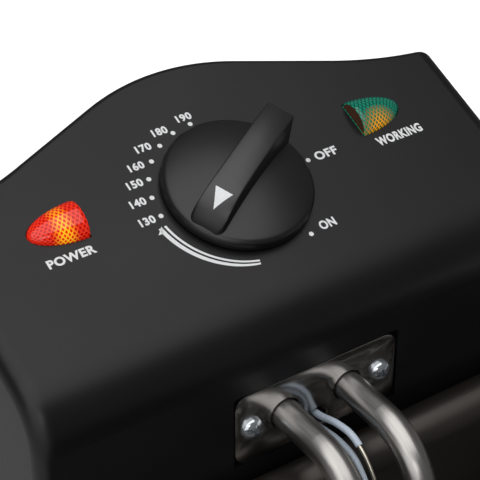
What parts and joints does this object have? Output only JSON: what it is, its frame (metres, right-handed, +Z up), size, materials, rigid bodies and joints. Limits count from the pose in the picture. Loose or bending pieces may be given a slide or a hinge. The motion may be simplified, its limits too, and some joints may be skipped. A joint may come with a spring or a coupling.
{
  "type": "countertop deep fryer",
  "caption": "Countertop electric deep fryer: lift-out oil pan, wire basket with a folding handle, and a lift-off control head with immersion element, knob and lamps.",
  "frame": {"origin": "on the table under the middle of the bounding box", "axes": "+X to the right seen from the basket handle's side, +Y to the control head at the rear, +Z up"},
  "size_m": [0.265, 0.5012, 0.2289],
  "materials": {
    "black_plastic": "fine satin moulding",
    "knob_plastic": "satin moulding",
    "casing_steel": "brushed stainless sheet",
    "pan_steel": "drawn stainless sheet",
    "element_steel": "satin stainless tube",
    "flange_steel": "polished stainless plate",
    "basket_steel": "bright plated wire",
    "zinc_steel": "bright zinc plate",
    "base_plastic": "plain moulding",
    "rubber": "matt",
    "red_lens": "prismatic, lit from behind",
    "green_lens": "prismatic, lit from behind",
    "lamp_glass": "clear",
    "grey_plastic": "plain moulding",
    "gasket_rubber": "matt silicone",
    "ceramic": "glazed ceramic",
    "capillary_metal": "drawn tube",
    "sleeve_plastic": "ribbed sleeve",
    "brass": "turned",
    "button_plastic": "moulded",
    "grip_plastic": "satin moulding"
  },
  "bodies": {
    "casing": {"casing_wall": "casing_steel", "base_tray": "base_plastic", "rubber_feet": "rubber", "base_screws": "zinc_steel", "left_carry_handle": "black_plastic", "right_carry_handle": "black_plastic", "carry_handle_screws": "zinc_steel", "guide_bracket": "casing_steel", "guide_rivets": "zinc_steel"},
    "pan": {"oil_pan": "pan_steel"},
    "head": {"head_shell": "black_plastic", "head_bottom_cover": "black_plastic", "cover_screws": "zinc_steel", "power_lens": "red_lens", "working_lens": "green_lens", "lamp_holders": "grey_plastic", "neon_lamps": "lamp_glass", "thermostat_body": "grey_plastic", "thermostat_screws": "zinc_steel", "element_flange": "flange_steel", "flange_gasket": "gasket_rubber", "flange_screws": "zinc_steel", "heating_element": "element_steel", "element_ferrules": "brass", "ceramic_beads": "ceramic", "terminal_studs": "zinc_steel", "element_brace": "pan_steel", "thermostat_capillary": "capillary_metal", "cutout_capillary": "capillary_metal", "thermostat_sleeve": "sleeve_plastic", "cutout_sleeve": "sleeve_plastic", "thermostat_bulb": "capillary_metal", "cutout_bulb": "capillary_metal", "bulb_clips": "pan_steel", "thermal_cutout": "grey_plastic", "cutout_nut": "brass", "terminal_block": "ceramic", "interlock_switch": "grey_plastic", "cord_gland": "base_plastic", "gland_nut": "base_plastic"},
    "knob": {"control_knob": "knob_plastic", "thermostat_shaft": "brass"},
    "reset": {"reset_button": "button_plastic"},
    "basket": {"basket_floor": "basket_steel", "basket_front": "basket_steel", "basket_back": "basket_steel", "basket_left": "basket_steel", "basket_right": "basket_steel", "basket_corners": "basket_steel", "basket_rim_wire": "basket_steel", "handle_bracket": "basket_steel"},
    "basket_handle": {"handle_wire": "basket_steel", "handle_grip": "grip_plastic"}
  },
  "joints": [
    {"name": "pan_lift", "type": "slide", "parent": "casing", "child": "pan", "axis": [0, 0, 1], "range_m": [0, 0.16]},
    {"name": "head_lift", "type": "slide", "parent": "pan", "child": "head", "axis": [0, 0, 1], "range_m": [0, 0.14]},
    {"name": "knob_turn", "type": "hinge", "parent": "head", "child": "knob", "pos_m": [0, 0.20235, 0.212], "axis": [0, -0.3778, 0.9259], "range_deg": [-119.3, 150.1]},
    {"name": "reset_press", "type": "slide", "parent": "head", "child": "reset", "axis": [0, 1, 0], "range_m": [-0.002, 0], "stiffness_N_per_m": 400},
    {"name": "basket_lift", "type": "slide", "parent": "head", "child": "basket", "axis": [0, 0, 1], "range_m": [0, 0.13]},
    {"name": "basket_handle_fold", "type": "hinge", "parent": "basket", "child": "basket_handle", "pos_m": [0, -0.06965, 0.165], "axis": [-1, 0, 0], "range_deg": [0, 165]}
  ]
}
